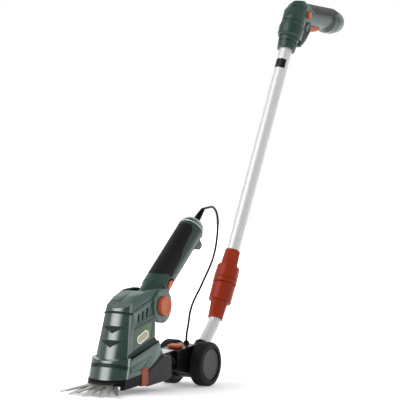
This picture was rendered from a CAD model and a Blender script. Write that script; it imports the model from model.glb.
import bpy
import bmesh
import math
import numpy as np
from mathutils import Matrix, Vector


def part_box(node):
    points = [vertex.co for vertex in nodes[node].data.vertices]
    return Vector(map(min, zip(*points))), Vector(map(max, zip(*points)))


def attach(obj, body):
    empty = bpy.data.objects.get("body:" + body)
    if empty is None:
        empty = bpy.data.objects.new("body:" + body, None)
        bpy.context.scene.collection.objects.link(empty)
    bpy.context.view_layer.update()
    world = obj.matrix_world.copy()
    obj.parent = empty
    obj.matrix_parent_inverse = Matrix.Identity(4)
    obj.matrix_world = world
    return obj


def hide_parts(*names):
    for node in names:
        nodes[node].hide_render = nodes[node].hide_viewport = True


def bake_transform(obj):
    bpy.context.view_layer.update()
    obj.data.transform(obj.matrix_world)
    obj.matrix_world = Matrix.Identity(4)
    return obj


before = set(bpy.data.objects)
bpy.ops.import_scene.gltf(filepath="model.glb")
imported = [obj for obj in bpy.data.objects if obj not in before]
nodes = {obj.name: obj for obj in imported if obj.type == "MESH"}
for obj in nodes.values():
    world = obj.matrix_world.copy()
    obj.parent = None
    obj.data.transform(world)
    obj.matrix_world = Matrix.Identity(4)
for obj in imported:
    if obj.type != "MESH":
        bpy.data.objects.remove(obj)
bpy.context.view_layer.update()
scene = bpy.context.scene
scene.view_settings.view_transform = "Standard"

MM = 0.001


def rot(axis, deg):
    return Matrix.Rotation(math.radians(deg), 4, axis)


def move(x, y, z):
    return Matrix.Translation((x * MM, y * MM, z * MM))


# Places of the object's own frames, in millimetres and degrees
axle_lo, axle_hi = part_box("axle")
axle_y = (axle_lo.y + axle_hi.y) / 2 / MM
pitch, rise, lean, bend = 6.0, 41.0, 24.8, 20.5
tip_z = 352 * math.tan(math.radians(pitch))
base_z = tip_z + 1.3
seam_z = base_z + 16.5
hub_y, hub_z = -137.0, seam_z + 109
handle_l, cap_end, plug_l = 191.0, 209.0, 42.0
pole_l, grip_r = 576.0, 22.5
wheel_r, track_w, tyre_w = 40.0, 95.0, 25.0

FLOOR = move(0, axle_y, 0)
HEAD = FLOOR @ rot("X", pitch)
HUB = HEAD @ move(0, hub_y, hub_z)
HAND = HUB @ rot("X", rise - pitch) @ move(0, 0, 8)
POLE = FLOOR @ move(0, 89, 109) @ rot("X", -lean)
LOW = POLE @ rot("X", -bend)
GRIP = POLE @ move(0, 0, pole_l + 82) @ rot("X", lean)
FRONT = HEAD @ move(0, -282, seam_z) @ rot("X", -19)
SKIRT = HEAD @ move(0, -290, seam_z) @ rot("X", -19)
AXLE = FLOOR @ move(0, 0, wheel_r)


def wall_frame(side):
    m = move(31.5, -262, seam_z + 31.5) @ rot("Z", -3.6) @ rot("Y", -6.3)
    return HEAD @ Matrix.Scale(-1, 4, (1, 0, 0)) @ m if side < 0 else HEAD @ m


# Camera at the photograph's place
def make_camera():
    a, e, roll = math.radians(29.61), math.radians(0.42), math.radians(2.38)
    view = Vector((-math.sin(a) * math.cos(e), math.cos(a) * math.cos(e), -math.sin(e)))
    right = Vector((math.cos(a), math.sin(a), 0))
    up = right.cross(view)
    x = right * math.cos(roll) + up * math.sin(roll)
    y = up * math.cos(roll) - right * math.sin(roll)
    place = Vector((0, (17.45 + axle_y) * MM, 0.3352)) - view * 4.0
    data = bpy.data.cameras.new("camera")
    data.sensor_fit = "HORIZONTAL"
    data.sensor_width = 36
    data.lens = 2196 / 400 * 36
    data.clip_end = 60
    cam = bpy.data.objects.new("camera", data)
    m = Matrix((x, y, -view)).transposed().to_4x4()
    m.translation = place
    cam.matrix_world = m
    scene.collection.objects.link(cam)
    scene.camera = cam


make_camera()


# Materials
class Nodes:
    def __init__(self, name):
        self.mat = bpy.data.materials.new(name)
        self.mat.use_nodes = True
        self.tree = self.mat.node_tree
        self.shader = self.tree.nodes["Principled BSDF"]
        self.coord = self.tree.nodes.new("ShaderNodeTexCoord").outputs["Object"]

    def new(self, kind, **values):
        n = self.tree.nodes.new(kind)
        for k, v in values.items():
            setattr(n, k, v)
        return n

    def link(self, a, b):
        self.tree.links.new(a, b)

    def noise(self, scale, detail=3.0, rough=0.5, stretch=None, turn=None):
        n = self.new("ShaderNodeTexNoise")
        n.inputs["Scale"].default_value = scale
        n.inputs["Detail"].default_value = detail
        n.inputs["Roughness"].default_value = rough
        source = self.coord
        if stretch:
            m = self.new("ShaderNodeMapping")
            m.inputs["Scale"].default_value = stretch
            if turn:
                m.inputs["Rotation"].default_value = [math.radians(t) for t in turn]
            self.link(source, m.inputs["Vector"])
            source = m.outputs["Vector"]
        self.link(source, n.inputs["Vector"])
        return n.outputs["Fac"]

    def ramp(self, fac, stops):
        r = self.new("ShaderNodeValToRGB")
        while len(r.color_ramp.elements) < len(stops):
            r.color_ramp.elements.new(0.5)
        for el, (p, c) in zip(r.color_ramp.elements, stops):
            el.position = p
            el.color = (*c, 1) if len(c) == 3 else c
        self.link(fac, r.inputs["Fac"])
        return r.outputs["Color"]

    def range(self, fac, low, high):
        n = self.new("ShaderNodeMapRange")
        n.inputs["To Min"].default_value = low
        n.inputs["To Max"].default_value = high
        self.link(fac, n.inputs["Value"])
        return n.outputs["Result"]

    def bump(self, height, strength, distance, normal=None):
        n = self.new("ShaderNodeBump")
        n.inputs["Strength"].default_value = strength
        n.inputs["Distance"].default_value = distance
        self.link(height, n.inputs["Height"])
        if normal:
            self.link(normal, n.inputs["Normal"])
        return n.outputs["Normal"]

    def mix(self, fac, a, b, blend="MIX"):
        n = self.new("ShaderNodeMix", data_type="RGBA", blend_type=blend)
        for key, value in ((0, fac), (6, a), (7, b)):
            if isinstance(value, (int, float)):
                n.inputs[key].default_value = value
            elif isinstance(value, tuple):
                n.inputs[key].default_value = (*value, 1)
            else:
                self.link(value, n.inputs[key])
        return n.outputs[2]


def shade(c, k):
    return tuple(min(1.0, max(0.0, v * k)) for v in c)


def moulded(name, color, rough, metal=0.0, coat=0.0, grain=900, depth=0.25, vary=0.12, edge=0.25,
            spec=0.35, sheen=0.0, flake=0.0, coat_ior=1.5):
    """Moulded plastic or rubber: blotchy colour, worn light edges, a fine moulded grain."""
    n = Nodes(name)
    s = n.shader
    blotch = n.noise(28, 4, 0.6)
    base = n.ramp(blotch, [(0.3, shade(color, 1 - vary)), (0.7, shade(color, 1 + vary))])
    if flake:
        specks = n.noise(1500, 1, 0.5)
        base = n.mix(n.ramp(specks, [(0.56, (0, 0, 0)), (0.74, (flake, flake, flake))]), base,
                     shade(color, 2.2))
    geo = n.new("ShaderNodeNewGeometry")
    worn = n.ramp(geo.outputs["Pointiness"], [(0.5, (0, 0, 0)), (0.6, (edge, edge, edge))])
    base = n.mix(worn, base, shade(color, 1.9))
    n.link(base, s.inputs["Base Color"])
    n.link(n.range(n.noise(60, 5, 0.65), rough - 0.07, rough + 0.07), s.inputs["Roughness"])
    n.link(n.bump(n.noise(grain, 2, 0.5), depth, 0.0002), s.inputs["Normal"])
    s.inputs["Metallic"].default_value = metal
    s.inputs["Coat Weight"].default_value = coat
    s.inputs["Coat Roughness"].default_value = 0.15
    s.inputs["Coat IOR"].default_value = coat_ior
    s.inputs["Specular IOR Level"].default_value = spec
    s.inputs["Sheen Weight"].default_value = sheen
    return n.mat


def brushed(name, color, rough, stretch, turn=(0, 0, 0), depth=0.12, metal=1.0, streak=0.1):
    """Metal with fine streaks along one direction."""
    n = Nodes(name)
    s = n.shader
    lines = n.noise(1.0, 5, 0.7, stretch, turn)
    n.link(n.ramp(lines, [(0.3, shade(color, 1 - streak)), (0.7, shade(color, 1 + streak))]),
           s.inputs["Base Color"])
    n.link(n.range(n.mix(0.5, lines, n.noise(20, 4, 0.6)), rough - 0.08, rough + 0.1), s.inputs["Roughness"])
    n.link(n.bump(lines, depth, 0.0001), s.inputs["Normal"])
    s.inputs["Metallic"].default_value = metal
    return n.mat


GREEN = (0.028, 0.068, 0.054)
DARK_GREEN = (0.014, 0.040, 0.030)
ORANGE = (0.46, 0.098, 0.034)
RED = (0.27, 0.024, 0.005)

m_green = moulded("green_shell", GREEN, 0.36, coat=0.25, flake=0.15, vary=0.08, spec=0.5)
m_cover = moulded("green_cover", DARK_GREEN, 0.20, coat=1.0, flake=0.15, vary=0.06, spec=1.0, coat_ior=1.8)
m_deep = moulded("green_recess", (0.007, 0.018, 0.014), 0.4, spec=0.2)
m_handle = moulded("green_handle", shade(GREEN, 0.62), 0.36, coat=0.1, flake=0.12, vary=0.08, spec=0.3)
m_orange = moulded("orange_button", ORANGE, 0.45, grain=700, vary=0.08, spec=0.3)
m_release = moulded("orange_release", shade(ORANGE, 0.6), 0.45, grain=700, vary=0.08, spec=0.2)
m_red = moulded("clamp_red", RED, 0.34, grain=500, depth=0.1, vary=0.08, spec=0.18)
m_black = moulded("black_plastic", (0.004, 0.004, 0.005), 0.45, grain=800, depth=0.3, vary=0.2, edge=0.3,
                  spec=0.1)
m_gloss = moulded("black_gloss", (0.004, 0.004, 0.005), 0.24, grain=600, depth=0.1, edge=0.3, spec=0.2)
m_shoe = moulded("dark_grey_plastic", (0.020, 0.019, 0.024), 0.48, grain=800, depth=0.3, spec=0.2)
m_disc = moulded("wheel_disc", (0.066, 0.064, 0.070), 0.5, grain=900, depth=0.3, vary=0.08, spec=0.2)
m_rim = moulded("wheel_rim", (0.034, 0.034, 0.037), 0.5, grain=800, depth=0.3, spec=0.2)
m_tyre = moulded("tyre_rubber", (0.012, 0.012, 0.013), 0.6, grain=500, depth=0.5, vary=0.25, spec=0.15)
m_rubber = moulded("grip_rubber", (0.007, 0.007, 0.008), 0.5, grain=420, depth=0.7, vary=0.2, spec=0.18)
m_pole_rubber = moulded("pole_rubber", (0.026, 0.024, 0.025), 0.55, grain=420, depth=0.7, vary=0.2,
                        sheen=0.05, spec=0.2)
m_cord = moulded("cord_skin", (0.006, 0.006, 0.007), 0.45, grain=900, depth=0.3, vary=0.2, spec=0.25)
m_badge = moulded("badge_field", (0.46, 0.40, 0.27), 0.4, grain=600, depth=0.1, vary=0.1, edge=0.0)
m_white = moulded("white_trim", (0.80, 0.83, 0.80), 0.3, coat=0.2, grain=400, depth=0.08, vary=0.04, edge=0.0)
TUBE_GREY = (0.61, 0.62, 0.63)
m_tube = brushed("tube_alloy", TUBE_GREY, 0.42, (900, 900, 6), (lean, 0, 0), 0.08, 0.3, 0.05)
m_tube_low = brushed("tube_alloy_low", TUBE_GREY, 0.42, (900, 900, 6), (lean + bend, 0, 0), 0.08, 0.3, 0.05)
m_blade = brushed("blade_steel", (0.40, 0.40, 0.38), 0.36, (700, 18, 700), (0, 0, 0), 0.15, 0.9, 0.2)
m_comb = brushed("comb_steel", (0.60, 0.60, 0.57), 0.38, (900, 14, 900), (0, 0, 0), 0.15, 0.9, 0.14)
m_bolt = brushed("bolt_steel", (0.45, 0.45, 0.46), 0.35, (300, 300, 300), (0, 0, 0), 0.1, 1.0, 0.15)
m_plate = brushed("latch_alloy", (0.62, 0.63, 0.65), 0.3, (900, 20, 900), (0, 0, 0), 0.1, 1.0, 0.1)
m_sticker = moulded("blank_sticker", (0.008, 0.007, 0.008), 0.4, grain=500, depth=0.05, spec=0.2)
m_board = moulded("board", (0.02, 0.12, 0.05), 0.45)


def label_material():
    """Label that runs from the shell's green to a pale yellow-green towards the rear."""
    n = Nodes("label_fade")
    s = n.shader
    sep = n.new("ShaderNodeSeparateXYZ")
    m = n.new("ShaderNodeMapping")
    m.inputs["Location"].default_value = (0, -(axle_y - 232) * MM, -0.075)
    n.link(n.coord, m.inputs["Vector"])
    n.link(m.outputs["Vector"], sep.inputs["Vector"])
    add = n.new("ShaderNodeMath", operation="MULTIPLY_ADD")
    add.inputs[1].default_value = 9.0
    add.inputs[2].default_value = 0.28
    n.link(sep.outputs["Y"], add.inputs[0])
    speck = n.noise(700, 2, 0.5)
    fade = n.ramp(add.outputs[0], [(0.0, (0.03, 0.06, 0.045)), (0.5, (0.08, 0.13, 0.065)),
                                   (1.0, (0.15, 0.21, 0.10))])
    n.link(n.mix(n.range(speck, 0.0, 0.18), fade, (0.2, 0.26, 0.14)), s.inputs["Base Color"])
    n.link(n.range(n.noise(90, 3), 0.3, 0.42), s.inputs["Roughness"])
    n.link(n.bump(speck, 0.1, 0.0001), s.inputs["Normal"])
    return n.mat


m_label = label_material()


# Mesh helpers
def evaluated(obj):
    bpy.context.view_layer.update()
    dg = bpy.context.evaluated_depsgraph_get()
    return bpy.data.meshes.new_from_object(obj.evaluated_get(dg), depsgraph=dg)


def bake(obj):
    mesh = evaluated(obj)
    obj.modifiers.clear()
    old = obj.data
    obj.data = mesh
    bpy.data.meshes.remove(old)


def face_outwards(mesh):
    bm = bmesh.new()
    bm.from_mesh(mesh)
    bmesh.ops.recalc_face_normals(bm, faces=bm.faces)
    bm.to_mesh(mesh)
    bm.free()


def merge_flat(mesh):
    """Joins doubled points and the triangles that lie in one plane."""
    bm = bmesh.new()
    bm.from_mesh(mesh)
    bmesh.ops.remove_doubles(bm, verts=bm.verts, dist=2e-5)
    bmesh.ops.dissolve_limit(bm, angle_limit=math.radians(0.4), verts=bm.verts, edges=bm.edges)
    bm.to_mesh(mesh)
    bm.free()


def add(name, verts, faces, place, mat, body, replaces=(), slot=None, bevel=0.0, segs=2, angle=30, smooth=35,
        subdiv=0):
    """A new piece from points in millimetres in a local frame."""
    mesh = bpy.data.meshes.new(name)
    flip = place.determinant() < 0
    pts = [place @ (Vector(v) * MM) for v in verts]
    mesh.from_pydata(pts, [], [tuple(reversed(f)) if flip else tuple(f) for f in faces])
    obj = bpy.data.objects.new(name, mesh)
    scene.collection.objects.link(obj)
    face_outwards(mesh)
    finish_piece(obj, mat, body, replaces, slot, bevel, segs, angle, smooth, subdiv)
    return obj


def finish_piece(obj, mat, body, replaces, slot, bevel=0.0, segs=2, angle=30, smooth=35, subdiv=0):
    if bevel:
        b = obj.modifiers.new("edge", "BEVEL")
        b.width = bevel * MM
        b.segments = segs
        b.limit_method = "ANGLE"
        b.angle_limit = math.radians(angle)
        b.use_clamp_overlap = True
        bake(obj)
    if subdiv:
        s = obj.modifiers.new("sub", "SUBSURF")
        s.levels = s.render_levels = subdiv
        bake(obj)
    mesh = obj.data
    mesh.shade_smooth()
    mesh.set_sharp_from_angle(angle=math.radians(smooth))
    mesh.materials.clear()
    mesh.materials.append(mat)
    if bevel:
        w = obj.modifiers.new("normals", "WEIGHTED_NORMAL")
        w.keep_sharp = True
    if body:
        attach(obj, body)
    if replaces:
        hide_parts(*replaces)
    return obj


def cutter(verts, faces, place):
    mesh = bpy.data.meshes.new("cut")
    mesh.from_pydata([place @ (Vector(v) * MM) for v in verts], [], faces)
    obj = bpy.data.objects.new("cut", mesh)
    scene.collection.objects.link(obj)
    face_outwards(mesh)
    return obj


def soft(name, node, mat, body, width=0.7, segs=2, angle=30, cuts=(), slot=None, weight=None, smooth=35):
    """A CAD solid with carved details and rounded edges."""
    obj = bpy.data.objects.new(name, nodes[node].data.copy())
    scene.collection.objects.link(obj)
    merge_flat(obj.data)
    for c in cuts:
        b = obj.modifiers.new("cut", "BOOLEAN")
        b.operation = "DIFFERENCE"
        b.solver = "EXACT"
        b.object = c
    if cuts:
        bake(obj)
        for c in cuts:
            bpy.data.objects.remove(c)
        merge_flat(obj.data)
    if weight:
        bm = bmesh.new()
        bm.from_mesh(obj.data)
        layer = bm.edges.layers.float.new("bevel_weight_edge")
        for e in bm.edges:
            if len(e.link_faces) == 2 and e.calc_face_angle(0) > math.radians(angle):
                e[layer] = weight(e)
        bm.to_mesh(obj.data)
        bm.free()
        b = obj.modifiers.new("edge", "BEVEL")
        b.width = width * MM
        b.segments = segs
        b.limit_method = "WEIGHT"
        b.use_clamp_overlap = True
        bake(obj)
        width = 0
    finish_piece(obj, mat, body, (node,), slot, width, segs, angle, smooth)
    return obj


def lathe(name, profile, place, mat, body, replaces=(), slot=None, segs=96, warp=None, closed=True, smooth=35,
          axis="Z"):
    """Turned piece: profile is [(radius, height)]; warp(angle, radius, height) gives a new radius."""
    verts, faces = [], []
    n = len(profile)
    for i in range(segs):
        a = 2 * math.pi * i / segs
        for r, h in profile:
            q = warp(a, r, h) if warp else r
            p = (q * math.cos(a), q * math.sin(a), h)
            if axis == "Y":
                p = (p[0], p[2], -p[1])
            elif axis == "X":
                p = (p[2], p[1], -p[0])
            verts.append(p)
    for i in range(segs):
        j = (i + 1) % segs
        for k in range(n if closed else n - 1):
            m = (k + 1) % n
            faces.append((i * n + k, j * n + k, j * n + m, i * n + m))
    obj = add(name, verts, faces, place, mat, None, smooth=smooth)
    bm = bmesh.new()
    bm.from_mesh(obj.data)
    bmesh.ops.remove_doubles(bm, verts=bm.verts, dist=1e-6)
    bmesh.ops.dissolve_degenerate(bm, edges=bm.edges, dist=1e-6)
    bmesh.ops.recalc_face_normals(bm, faces=bm.faces)
    bm.to_mesh(obj.data)
    bm.free()
    finish_piece(obj, mat, body, replaces, slot, smooth=smooth)
    return obj


def fillet(points, radius, steps=4):
    """A profile with its corners rounded."""
    out = []
    n = len(points)
    for i in range(n):
        p0, p, p1 = (Vector((*points[(i + k) % n], 0)) for k in (-1, 0, 1))
        a, b = p0 - p, p1 - p
        d = min(radius, a.length * 0.45, b.length * 0.45)
        if d < 1e-6 or p.x < 1e-6:
            out.append((p.x, p.y))
            continue
        s, e = p + a.normalized() * d, p + b.normalized() * d
        for k in range(steps + 1):
            t = k / steps
            q = s * (1 - t) ** 2 + p * 2 * t * (1 - t) + e * t * t
            out.append((q.x, q.y))
    return out


def smooth_path(points, per=5):
    """Catmull-Rom curve through the points."""
    p = [np.array(q, float) for q in points]
    p = [2 * p[0] - p[1]] + p + [2 * p[-1] - p[-2]]
    out = []
    for i in range(1, len(p) - 2):
        a, b, c, d = p[i - 1:i + 3]
        for k in range(per):
            t = k / per
            out.append(0.5 * (2 * b + (c - a) * t + (2 * a - 5 * b + 4 * c - d) * t ** 2
                              + (3 * b - a - 3 * c + d) * t ** 3))
    out.append(p[-2])
    return out


def tube_mesh(path, radius, sides=12, caps=True):
    """Points and faces of a tube along a path that lies in a plane of constant X."""
    verts, faces = [], []
    n = len(path)
    for i, p in enumerate(path):
        t = path[min(i + 1, n - 1)] - path[max(i - 1, 0)]
        t = t / np.linalg.norm(t)
        side = np.array([1.0, 0, 0])
        up = np.cross(t, side)
        up /= np.linalg.norm(up)
        for k in range(sides):
            a = 2 * math.pi * k / sides
            verts.append(p + radius * (math.cos(a) * side + math.sin(a) * up))
    for i in range(n - 1):
        for k in range(sides):
            m = (k + 1) % sides
            faces.append((i * sides + k, i * sides + m, (i + 1) * sides + m, (i + 1) * sides + k))
    if caps:
        faces.append(tuple(range(sides))[::-1])
        faces.append(tuple((n - 1) * sides + k for k in range(sides)))
    return verts, faces


def prism(points, x0, x1):
    """A side outline [(y, z)] between two X planes."""
    n = len(points)
    verts = [(x0, y, z) for y, z in points] + [(x1, y, z) for y, z in points]
    faces = [tuple(range(n))[::-1], tuple(range(n, 2 * n))]
    faces += [(i, (i + 1) % n, n + (i + 1) % n, n + i) for i in range(n)]
    return verts, faces


def ring(r0, r1, z0, z1, axis="Z", cy=0.0, segs=96):
    """Square ring between two radii, to cut a groove round a turned form; cy moves its axis along Y."""
    verts, faces = [], []
    for i in range(segs):
        a = 2 * math.pi * i / segs
        for r, z in ((r0, z0), (r1, z0), (r1, z1), (r0, z1)):
            p = (r * math.cos(a), r * math.sin(a) + cy, z)
            if axis == "Y":
                p = (r * math.cos(a), z, -r * math.sin(a))
            verts.append(p)
    for i in range(segs):
        j = (i + 1) % segs
        for k in range(4):
            m = (k + 1) % 4
            faces.append((i * 4 + k, j * 4 + k, j * 4 + m, i * 4 + m))
    return verts, faces


# The charging cord, from the gland on the carriage to the plug in the handle
hub_w = (hub_y * math.cos(math.radians(pitch)) - hub_z * math.sin(math.radians(pitch)),
         hub_y * math.sin(math.radians(pitch)) + hub_z * math.cos(math.radians(pitch)))
ca, sa = math.cos(math.radians(rise)), math.sin(math.radians(rise))
cord_far = (hub_w[0] + (cap_end + plug_l) * ca - 8 * sa, hub_w[1] + (cap_end + plug_l) * sa + 8 * ca)
cord_route = [
    (-11, 80), (-11, 92), (-8, 104), (-5, 116), (-3, 128), (2, 140), (10, 152), (20, 163), (31, 174),
    (42, 187), (54, 201), (65, 214), (75, 229), (82, 245), (86, 262), (88, 281), (87, 299),
    (81, 313), (71, 321), (59, 323), cord_far,
]
cord_path = smooth_path([(0, (y + axle_y) * MM, z * MM) for y, z in cord_route], 4)
cord_length = sum(np.linalg.norm(b - a) for a, b in zip(cord_path, cord_path[1:]))


def make_cord():
    verts, faces = tube_mesh(cord_path, 2.0 * MM, 12)
    mesh = bpy.data.meshes.new("charging_lead")
    mesh.from_pydata([tuple(v) for v in verts], [], faces)
    mesh.shade_smooth()
    mesh.materials.append(m_cord)
    obj = bpy.data.objects.new("charging_lead", mesh)
    scene.collection.objects.link(obj)
    # Collar, body and ribbed boot of the plug
    profile = [(0, cap_end - 6), (2.7, cap_end - 6), (2.7, cap_end), (5.2, cap_end), (5.6, cap_end + 1),
               (5.6, cap_end + 13)]
    for i in range(6):
        y, r = cap_end + 14 + 4.3 * i, 5.5 - 0.42 * i
        profile += [(r - 1.0, y), (r - 1.0, y + 1.2), (r + 0.25, y + 1.7), (r + 0.25, y + 3.6)]
    profile += [(3.0, cap_end + plug_l - 1), (2.6, cap_end + plug_l), (0, cap_end + plug_l)]
    plug = lathe("plug", profile, HAND, m_black, "handle", ("cord_plug",), "black", 48, closed=False,
                 axis="Y")
    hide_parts("charging_cord")
    tuple(cord_path[2])
    tuple(cord_path[-1])
    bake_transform(obj)
    tuple(cord_path[0])
    [tuple(p) for p in cord_path]


make_cord()


# Head
def bowed_strip(name, bow, place, rows, mat, cols=24):
    """Curved inlay in a bowed face: rows of (half width, height at the middle, height at the ends, depth)."""
    verts, faces = [], []
    for back in (0.0, 0.4):
        for half, mid_z, end_z, deep in rows:
            for i in range(cols + 1):
                u = 2 * i / cols - 1
                x = half * u
                y = bow - math.sqrt(bow ** 2 - x ** 2) + deep + back
                verts.append((x, y, mid_z + (end_z - mid_z) * abs(u)))
    n, m = cols + 1, len(rows)
    for j in range(m - 1):
        for i in range(cols):
            a = j * n + i
            b = m * n + a
            faces += [(a, a + 1, a + n + 1, a + n), (b, b + n, b + n + 1, b + 1)]
    edge = list(range(n)) + [j * n + cols for j in range(1, m)]
    edge += [(m - 1) * n + i for i in range(cols - 1, -1, -1)] + [j * n for j in range(m - 2, 0, -1)]
    for k, a in enumerate(edge):
        c = edge[(k + 1) % len(edge)]
        faces.append((a, m * n + a, m * n + c, c))
    add(name, verts, faces, place, mat, "head", slot="dark_green", smooth=30)


def head_cover():
    soft("head_front", "front_cover", m_cover, "head", 0.6, 2, 24,
         [cutter(*ring(46.4, 70, 114.8, 119.2, cy=48), FRONT),
          cutter(*ring(50.6, 75, 22.6, 29.4, cy=52), SKIRT)], "dark_green")
    # Sloping floors of the two chevrons, and the floors of the grooves below the crown and the step
    for i, za in enumerate((55.0, 79.5)):
        floor_rows = [(22.3, za + 13.4, za + 13.4, 0.2), (22.3, za + 0.3, za + 13.2, 1.5)]
        bowed_strip("chevron_%d" % i, 48, FRONT, floor_rows, m_deep)
    bowed_strip("crown_groove", 48, FRONT, [(29, 118.9, 118.9, 1.0), (29, 115.1, 115.1, 1.3)], m_deep)
    bowed_strip("step_groove", 52, SKIRT, [(36, 29.3, 29.3, 1.2), (36, 22.7, 22.7, 0.5)], m_deep)


head_cover()


def wall_prism(points, depth, side, x1=12.0):
    return cutter(*prism(points, -depth, x1), wall_frame(side))


def outline(points, width):
    """A closed band of one width inside a side outline [(y, z)]."""
    n = len(points)
    mid = sum((Vector(q) for q in points), Vector((0, 0))) / n
    inner = [tuple(Vector(q) + (mid - Vector(q)).normalized() * width * 1.5) for q in points]
    return points, inner


def band(points, width, x0, x1):
    """Points and faces of that band between two X planes."""
    outer, inner = outline(points, width)
    n = len(outer)
    verts = [(x, y, z) for x in (x0, x1) for y, z in outer + inner]
    faces = []
    for i in range(n):
        j = (i + 1) % n
        a, b, c, d = i, j, n + j, n + i
        faces += [(a, d, c, b), (2 * n + a, 2 * n + b, 2 * n + c, 2 * n + d),
                  (a, b, 2 * n + b, 2 * n + a), (d, 2 * n + d, 2 * n + c, c)]
    return verts, faces


def band_cutter(points, width, x0, x1, place):
    return cutter(*band(points, width, x0, x1), place)


WEDGE = [(-258, 27.6), (-186, 36.4), (-217, 18.6), (-261, 16.7)]


def head_shell(side):
    word = "right" if side > 0 else "left"
    place = wall_frame(side)
    flank = HEAD @ Matrix.Scale(side, 4, (1, 0, 0)) @ move(38.5, 0, seam_z - 8) @ rot("Y", -2.53)
    cuts = [
        wall_prism([(41, 73), (92.5, 85), (94.5, 67.5), (37, 52.5)], 1.2, side),
        wall_prism([(31, 48.2), (95, 60.8), (95, 63.2), (31, 50.6)], 1.3, side),
        wall_prism([(30, 77.2), (100, 95.4), (100, 97.2), (30, 79.0)], 1.5, side),
        wall_prism([(29.5, 44.5), (89, 55.2), (80, 27.5), (25, 13.8)], 0.5, side),
        wall_prism([(-3, -3), (103, 18), (97, 28.3), (91, 28.8), (24, 12.6), (0, 5)], 2.0, side),
        band_cutter(WEDGE, 1.7, -1.0, 6, flank),
    ]
    to_wall = place.inverted()

    def weight(e):
        a, b = (to_wall @ v.co / MM for v in e.verts)
        top = min(a.z, b.z) > 70 and max(abs(a.x), abs(b.x)) < 1.0 and (b - a).length > 20
        return 1.0 if top else 0.22

    soft("head_side_" + word, "head_shell_" + word, m_green, "head", 2.6, 3, 26, cuts, "green", weight)
    # Dark floors of the wedge outline and the slanted recess, dark room behind the vents, and the label
    add("wedge_line_" + word, *band(WEDGE, 1.7, -1.3, -0.75), flank, m_deep, "head", slot="green")
    add("side_recess_" + word, *prism([(-1, -3), (101, 17.8), (95, 27.6), (91, 28), (24, 11.8), (0.5, 4.4)],
                                     -2.4, -1.75), place, m_deep, "head", slot="green", bevel=0.2)
    add("vent_baffle_" + word, *prism([(38, 56), (38, 72), (92, 85), (92, 62)], -4.2, -3.4), place, m_deep,
        "head", slot="black", bevel=0.2)
    add("side_label_" + word, *prism([(30, 44), (88.3, 54.5), (79.4, 28), (25.6, 14.6)], -0.8, -0.22),
        place, m_label, "head", slot="green", bevel=0.12)


head_shell(1)
head_shell(-1)


def pill(name, half, rows, place, mat, replaces=()):
    """Rounded lozenge from rows of (radius, height)."""
    verts, faces = [], []
    n = 48
    for r, x in rows:
        for i in range(n):
            a = 2 * math.pi * (i + 0.5) / n
            k = half if math.cos(a) >= 0 else -half
            verts.append((x, k + r * math.cos(a), r * math.sin(a)))
    for j in range(len(rows) - 1):
        for i in range(n):
            m = (i + 1) % n
            faces.append((j * n + i, j * n + m, (j + 1) * n + m, (j + 1) * n + i))
    faces.append(tuple(range((len(rows) - 1) * n, len(rows) * n)))
    faces.append(tuple(range(n))[::-1])
    add(name, verts, faces, place, mat, "head", replaces, "white", smooth=50)


def badge():
    """Blank lozenge: a pale rim round a plain field."""
    place = wall_frame(1) @ move(0, 56, 33) @ rot("X", 18)
    rim_rows = [(7.4, 0.0), (7.4, 0.8), (6.9, 1.0), (5.6, 1.0), (5.2, 0.6)]
    pill("blank_badge", 11, rim_rows, place, m_white, ("badge_plate",))
    pill("badge_field", 11, [(5.1, 0.4), (5.1, 0.7), (4.6, 0.8)], place, m_badge)


badge()
soft("base_tray", "head_base", m_black, "head", 0.6, 2, 28, slot="black")

for side, word in ((1, "right"), (-1, "left")):
    turn = HUB if side > 0 else HUB @ rot("Z", 180)
    stud = fillet([(0, 28.4), (17, 28.4), (17, 38.9), (12.6, 38.9), (12.0, 38.4), (0, 38.2)], 1.3)
    button = "hinge_button_" + word
    lathe("pivot_button_" + word, stud, turn, m_orange, button, (button,), "orange", closed=False, axis="X")
    release = "release_button_" + word
    soft("blade_release_" + word, release, m_release, release, 1.4, 3, slot="orange")


# Blades
soft("comb_plate", "comb", m_comb, "head", 0.35, 2, 30, slot="steel")
soft("cutting_blade", "upper_blade", m_blade, "upper_blade", 0.35, 2, 30, slot="steel")
soft("blade_guard", "blade_clamp", m_shoe, "head", 0.5, 2, slot="steel")
soft("pivot_bolt", "blade_bolt", m_bolt, "head", 0.5, 2, slot="steel")
soft("base_screws", "head_screws", m_bolt, "head", 0.3, 2, slot="steel")


# Handle
for word in ("right", "left"):
    soft("handle_half_" + word, "handle_shell_" + word, m_handle, "handle", 0.6, 2, 30, slot="green")
soft("handle_rubber", "handle_grip", m_rubber, "handle", 0.6, 2, 30, slot="rubber")
soft("shears_trigger", "handle_trigger", m_orange, "handle_trigger", 1.4, 3, 30, slot="orange")
ring_low, ring_high = handle_l + 0.1, handle_l + 1.4
trim = fillet([(20.5, ring_low), (24.7, ring_low), (24.7, ring_high), (20.5, ring_high)], 0.4)
lathe("cap_ring", trim, HAND, m_white, "handle", ("end_ring",), "white", axis="Y")
dome = fillet([(8.1, handle_l + 1.6), (24.4, handle_l + 1.6), (23.5, handle_l + 8), (20.2, cap_end - 3),
               (16, cap_end - 0.1), (8.1, cap_end - 0.1)], 2.2)
lathe("cap_dome", dome, HAND, m_cover, "handle", ("end_cap",), "dark_green", axis="Y")
soft("socket_rim", "charge_socket", m_black, "handle", 0.4, 2, slot="black")


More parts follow.
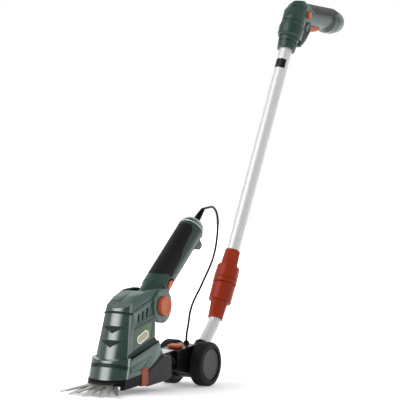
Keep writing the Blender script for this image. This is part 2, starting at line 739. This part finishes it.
# Carriage
soft("shoe", "carriage_shoe", m_shoe, "head", 1.2, 3, 26, slot="dark_grey")
for word in ("right", "left"):
    soft("carriage_half_" + word, "carriage_shell_" + word, m_gloss, "head", 0.9, 2, 30, slot="black")
soft("latch_bed", "latch_plate", m_plate, "head", 0.5, 2, slot="alloy")
to_head = HEAD.inverted()
bed = [to_head @ v.co / MM for v in nodes["latch_plate"].data.vertices]
bed_front, bed_top = min(v.y for v in bed), max(v.z for v in bed)
slot_ends, slot_low, slot_high = (bed_front + 2.5, bed_front + 17), bed_top - 0.6, bed_top + 0.15
slot_outline = [(slot_ends[0], slot_low), (slot_ends[1], slot_low), (slot_ends[1], slot_high),
                (slot_ends[0], slot_high)]
add("latch_slot", *prism(slot_outline, -9.5, 9.5), HEAD, m_gloss, "head", slot="black", bevel=0.1)
soft("latch_slab", "latch_button", m_orange, "latch_button", 1.5, 3, slot="orange")
gland = fillet([(0, 71.1), (5.9, 71.1), (5.9, 75.6), (4.9, 76.2), (5.3, 77), (4.5, 77.6), (4.7, 78.4),
                (4.0, 79.9), (0, 79.9)], 0.3)
lathe("lead_gland", gland,
      FLOOR @ move(0, -11, 0), m_black, "head", ("cord_gland",), "black", 48, closed=False)


def wheel(side):
    word = "right" if side > 0 else "left"
    place = AXLE if side > 0 else AXLE @ rot("Z", 180)
    body = "wheel_" + word
    inner, outer = track_w / 2 - tyre_w, track_w / 2
    tread = [(wheel_r - 7, inner), (wheel_r - 2.5, inner), (wheel_r - 0.4, inner + 2.2), (wheel_r, inner + 4)]
    for i in range(5):
        x = inner + 5.2 + 3.2 * i
        tread += [(wheel_r, x), (wheel_r - 0.5, x + 0.35), (wheel_r - 0.5, x + 0.75), (wheel_r, x + 1.1)]
    tread += [(wheel_r, outer - 3.4), (wheel_r - 1.2, outer - 1.0), (wheel_r - 3.2, outer - 0.1),
              (wheel_r - 8.9, outer - 0.1), (wheel_r - 8.9, outer - 2.9), (wheel_r - 7, outer - 2.9)]
    lathe("tread_" + word, tread, place, m_tyre, body, ("tyre_" + word,), "tyre", axis="X")
    rim = fillet([(4.2, inner + 0.2), (wheel_r - 7.1, inner + 0.2), (wheel_r - 7.1, outer - 3.1),
                  (wheel_r - 11.9, outer - 3.1), (wheel_r - 11.9, outer - 5.9), (4.2, outer - 5.9)], 0.6)
    lathe("rim_" + word, rim, place, m_rim, body, ("wheel_" + word,), "dark_grey", axis="X")
    seat = outer - 6
    disc = fillet([(0, seat + 2.6), (7.9, seat + 2.6), (7.9, seat + 0.1), (wheel_r - 12.3, seat + 0.1),
                   (wheel_r - 12.3, seat + 3.5), (wheel_r - 13.6, seat + 4.9), (wheel_r - 15.4, seat + 4.9),
                   (wheel_r - 16.2, seat + 4.0), (0, seat + 4.3)], 0.5)
    lathe("disc_" + word, disc, place, m_disc, body, ("wheel_cap_" + word,), "grey", closed=False, axis="X")


wheel(1)
wheel(-1)
soft("axle_rod", "axle", m_bolt, "head", 0.4, 2, slot="steel")


# Pole
def bent_tube():
    """The lower tube with its smooth bend."""
    r = 58.0
    half = math.radians(bend / 2)
    run = r * math.tan(half)
    pts = [LOW @ Vector((0, 0, -100 * MM)), LOW @ Vector((0, 0, -60 * MM)), LOW @ Vector((0, 0, -run * MM))]
    for k in range(1, 12):
        t = k / 12
        p0 = LOW @ Vector((0, 0, -run * MM))
        p1 = POLE @ Vector((0, 0, 0))
        p2 = POLE @ Vector((0, 0, run * MM))
        pts.append(p0 * (1 - t) ** 2 + p1 * 2 * t * (1 - t) + p2 * t * t)
    pts += [POLE @ Vector((0, 0, z * MM)) for z in (run, 60, 200, 403.4)]
    path = [np.array(p) for p in pts]
    v1, f1 = tube_mesh(path, 10.95 * MM, 64, caps=False)
    v2, f2 = tube_mesh(path, 9.85 * MM, 64, caps=False)
    n, last = len(v1), (len(path) - 1) * 64
    faces = f1 + [tuple(reversed([i + n for i in f])) for f in f2]
    for k in range(64):
        m = (k + 1) % 64
        faces.append((k, n + k, n + m, m))
        faces.append((last + k, last + m, n + last + m, n + last + k))
    mesh_v = [tuple(v / MM) for v in v1 + v2]
    add("inner_tube", mesh_v, faces, Matrix.Identity(4), m_tube_low, "head", ("lower_tube",), "alloy",
        smooth=40)


bent_tube()
tube_low, tube_high = 77.6, pole_l + 63.9
sheath = fillet([(11.35, tube_low), (12.45, tube_low), (12.45, tube_high), (11.35, tube_high)], 0.3)
lathe("outer_tube", sheath, POLE, m_tube, "pole", ("upper_tube",), "alloy", 96)


def sticker():
    """Blank black patch wrapped on the tube below the pole handle."""
    verts, faces = [], []
    n, s0, s1 = 20, 532.0, 551.0
    for r in (12.5, 12.62):
        for i in range(n + 1):
            a = math.radians(-148 + 118 * i / n)
            for s in (s0, s1):
                verts.append((r * math.cos(a), r * math.sin(a), s))
    k = 2 * (n + 1)
    for i in range(n):
        a = 2 * i
        faces += [(a, a + 2, a + 3, a + 1), (k + a, k + a + 1, k + a + 3, k + a + 2),
                  (a, k + a, k + a + 2, a + 2), (a + 1, a + 3, k + a + 3, k + a + 1)]
    faces += [(0, 1, k + 1, k), (2 * n, k + 2 * n, k + 2 * n + 1, 2 * n + 1)]
    add("tube_patch", verts, faces, POLE, m_sticker, "pole", slot="black")


sticker()


def faceted(low, high, count):
    """Flat sides along a taper between two heights, which fade out at its ends."""
    def warp(a, r, h):
        t = (h - low) / (high - low)
        if not 0 < t < 1:
            return r
        k = min(1, 8 * t, 8 * (1 - t))
        off = (a * count / (2 * math.pi)) % 1 - 0.5
        flat = math.cos(math.pi / count) / math.cos(2 * math.pi * off / count)
        return r * (1 - k * (1 - flat))
    return warp


def dense(profile, step=1.5):
    out = []
    for (r0, h0), (r1, h1) in zip(profile, profile[1:]):
        n = max(1, int(abs(h1 - h0) / step))
        out += [(r0 + (r1 - r0) * k / n, h0 + (h1 - h0) * k / n) for k in range(n)]
    return out + [profile[-1]]


nut = dense([(11.5, 8.1), (13.7, 8.1), (14.3, 8.9), (16.5, 41.4), (20.5, 42.4), (21.3, 44), (21.7, 75),
             (20.9, 76.4), (18.1, 76.4), (18.1, 58), (11.5, 40.1)])
lathe("clamp_lower", nut, POLE, m_red, "clamp_nut", ("clamp_nut",), "clamp_red", 160, faceted(9, 41.6, 8))
sleeve = dense([(12.55, 77.6), (21.7, 77.6), (22.3, 78.6), (22.3, 84.4), (21.1, 85.2), (21.1, 87),
                (22.3, 87.8), (21.3, 111.4), (20.5, 112.9), (16.5, 113.6), (14.9, 142.4),
                (14.3, 145.4), (12.55, 145.4)])
lathe("clamp_upper", sleeve, POLE, m_red, "pole", ("clamp_body",), "clamp_red", 160, faceted(113.4, 144, 8))
soft("clamp_collet", "collet", m_black, "pole", 0.3, 1, slot="black")


# Pole handle
def rod(x0, x1, r, y, z, segs=32):
    """Round rod along X, to cut a well."""
    verts = [(x, y + r * math.cos(2 * math.pi * i / segs), z + r * math.sin(2 * math.pi * i / segs))
             for x in (x0, x1) for i in range(segs)]
    faces = [tuple(range(segs))[::-1], tuple(range(segs, 2 * segs))]
    faces += [(i, (i + 1) % segs, segs + (i + 1) % segs, segs + i) for i in range(segs)]
    return verts, faces


def pole_half(side):
    word = "right" if side > 0 else "left"
    pommel = GRIP @ move(0, 0, -3.5)
    cuts = [
        cutter(*ring(17.6, 40, pole_l + 13.4, pole_l + 14.6), POLE),
        cutter(*ring(18.3, 40, pole_l + 23.0, pole_l + 24.8), POLE),
        cutter(*ring(21.4, 40, pole_l + 57.2, pole_l + 58.8), POLE),
        cutter(*ring(grip_r - 1.1, 60, 117, 118.3, axis="Y"), pommel),
        cutter(*ring(grip_r - 0.1, 60, 126, 127.3, axis="Y"), pommel),
    ]
    if side > 0:
        for y, z in ((6, pole_l + 50), (0, pole_l + 10)):
            cuts.append(cutter(*rod(15.5, 40, 2.4, y, z), POLE))
            screw = fillet([(0, 15.6), (2.2, 15.6), (2.2, 17.0), (0.9, 17.2), (0.8, 16.6), (0, 16.6)], 0.2)
            lathe("screw_head_%d" % z, screw, POLE @ move(0, y, z), m_bolt, "pole", slot="steel", segs=32,
                  closed=False, axis="X")
    soft("pole_half_" + word, "pole_shell_" + word, m_handle, "pole", 0.8, 2, 28, cuts, slot="green")


pole_half(1)
pole_half(-1)
soft("pole_rubber", "pole_grip", m_pole_rubber, "pole", 0.5, 2, 30, slot="rubber")
soft("pole_lever", "pole_trigger", m_orange, "pole_trigger", 1.4, 3, 30, slot="orange")
lock = fillet([(0, 20.1), (6.9, 20.1), (6.9, 26.0), (5.0, 26.4), (0, 26.45)], 0.9)
lathe("lock_stud", lock, GRIP @ move(0, 14, -3), m_orange, "lock_button", ("lock_button",), "orange", 64,
      closed=False, axis="X")

# Pieces inside the housings keep their solids
for name, mat in {
    "gear_plate": m_black, "motor": m_plate, "motor_pinion": m_bolt, "crank_gear": m_plate,
    "hinge_pin": m_bolt, "battery_cells": m_shoe, "battery_tray": m_black, "circuit_board": m_board,
    "handle_switch": m_black, "handle_screws": m_bolt, "carriage_screws": m_bolt,
    "pole_switch": m_black, "pole_screws": m_bolt,
}.items():
    nodes[name].data.materials.clear()
    nodes[name].data.materials.append(mat)


# Floor, backdrop and light
def seen_directly(tree):
    """1 for camera, glossy and transmission rays."""
    path = tree.nodes.new("ShaderNodeLightPath")
    out = path.outputs["Is Camera Ray"]
    for key in ("Is Glossy Ray", "Is Transmission Ray"):
        m = tree.nodes.new("ShaderNodeMath")
        m.operation = "MAXIMUM"
        tree.links.new(out, m.inputs[0])
        tree.links.new(path.outputs[key], m.inputs[1])
        out = m.outputs[0]
    return out


# Bright patches of the studio: direction, inner and outer half angles, strength
LOBES = [((-0.38, -0.70, 0.58), 14, 32, 3.6), ((0.75, 0.60, 0.30), 15, 75, 0.62),
         ((-0.95, 0.25, 0.2), 10, 60, 0.36), ((-0.35, 0.9, 0.15), 20, 60, 0.8)]
# Light of the rest of the studio, and what is added to it for rays that aren't reflections
DIM = 0.12
FILL = 0.42


def stage():
    size = 14.0
    mesh = bpy.data.meshes.new("floor")
    corners = [(-size, -size, 0), (size, -size, 0), (size, size, 0), (-size, size, 0)]
    mesh.from_pydata(corners, [], [(0, 1, 2, 3)])
    floor = bpy.data.objects.new("floor", mesh)
    scene.collection.objects.link(floor)
    n = Nodes("floor_white")
    s = n.shader
    n.link(n.ramp(n.noise(3, 3), [(0.3, (0.86, 0.86, 0.86)), (0.7, (0.9, 0.9, 0.9))]), s.inputs["Base Color"])
    s.inputs["Roughness"].default_value = 0.6
    s.inputs["Specular IOR Level"].default_value = 0.1
    far = n.new("ShaderNodeVectorMath", operation="LENGTH")
    n.link(n.coord, far.inputs[0])
    spread = n.new("ShaderNodeMapRange", interpolation_type="SMOOTHSTEP")
    for key, value in (("From Min", 0.45), ("From Max", 1.6), ("To Min", 0.18), ("To Max", 1.0)):
        spread.inputs[key].default_value = value
    n.link(far.outputs["Value"], spread.inputs["Value"])
    glow = n.new("ShaderNodeMath", operation="MULTIPLY")
    n.link(spread.outputs["Result"], glow.inputs[0])
    n.link(seen_directly(n.tree), glow.inputs[1])
    s.inputs["Emission Color"].default_value = (1, 1, 1, 1)
    n.link(glow.outputs[0], s.inputs["Emission Strength"])
    mesh.materials.append(n.mat)

    # Soft light from the studio patches, white where the camera sees it
    world = bpy.data.worlds.new("studio")
    scene.world = world
    world.use_nodes = True
    t = world.node_tree
    bg = t.nodes["Background"]
    way = t.nodes.new("ShaderNodeTexCoord").outputs["Generated"]

    def lobe(toward, inner, outer, strength):
        """A soft bright patch of sky round one direction, between two angles."""
        dot = t.nodes.new("ShaderNodeVectorMath")
        dot.operation = "DOT_PRODUCT"
        dot.inputs[1].default_value = Vector(toward).normalized()
        t.links.new(way, dot.inputs[0])
        step = t.nodes.new("ShaderNodeMapRange")
        step.interpolation_type = "SMOOTHSTEP"
        for key, value in (("From Min", math.cos(math.radians(outer))),
                           ("From Max", math.cos(math.radians(inner))), ("To Min", 0.0),
                           ("To Max", strength)):
            step.inputs[key].default_value = value
        t.links.new(dot.outputs["Value"], step.inputs["Value"])
        return step.outputs["Result"]

    def add_up(a, b):
        n = t.nodes.new("ShaderNodeMath")
        n.operation = "ADD"
        for socket, value in zip(n.inputs, (a, b)):
            if isinstance(value, float):
                socket.default_value = value
            else:
                t.links.new(value, socket)
        return n.outputs[0]

    def choose(fac, a, b):
        n = t.nodes.new("ShaderNodeMix")
        t.links.new(fac, n.inputs[0])
        for socket, value in ((n.inputs[2], a), (n.inputs[3], b)):
            if isinstance(value, float):
                socket.default_value = value
            else:
                t.links.new(value, socket)
        return n.outputs[0]

    glow = DIM
    for toward, inner, outer, strength in LOBES:
        glow = add_up(glow, lobe(toward, inner, outer, strength))
    path = t.nodes.new("ShaderNodeLightPath")
    glow = choose(path.outputs["Is Glossy Ray"], add_up(glow, FILL), glow)
    glow = choose(path.outputs["Is Camera Ray"], glow, 1.0)
    bg.inputs["Color"].default_value = (1, 1, 1, 1)
    t.links.new(glow, bg.inputs["Strength"])


stage()
